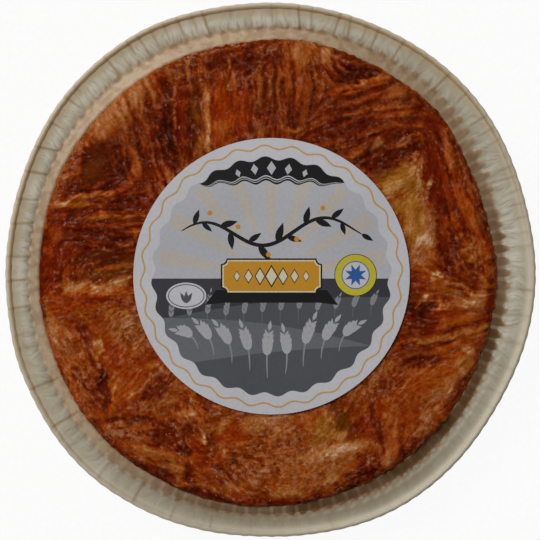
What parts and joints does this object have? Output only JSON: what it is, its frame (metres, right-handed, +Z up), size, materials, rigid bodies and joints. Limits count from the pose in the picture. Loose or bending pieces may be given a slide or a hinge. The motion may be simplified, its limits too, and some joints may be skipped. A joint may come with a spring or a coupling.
{
  "type": "kouign amann",
  "caption": "Round caramelised butter cake with a folded, flaky crust, in its fluted paper baking case, with a round printed card label lying on top.",
  "frame": {"origin": "middle of the underside of the baking case, on the surface it stands on", "axes": "+Z up through the cake, square to its flat base; +Y towards the deep crease at the top of the crust, the upper edge of the label; +X to the right of that, seen from above"},
  "size_m": [0.2303, 0.233, 0.0316],
  "materials": {
    "caramelised_crust": "laminated dough baked to an uneven orange brown, with glossy caramel in the hollows and matt flaky edges",
    "coated_paper": "cream greaseproof baking paper, pressed into flutes, with a faint sheen and brown crease lines",
    "printed_card": null
  },
  "bodies": {
    "root": {"pastry": "caramelised_crust", "baking_case": "coated_paper", "label": "printed_card"}
  },
  "joints": []
}
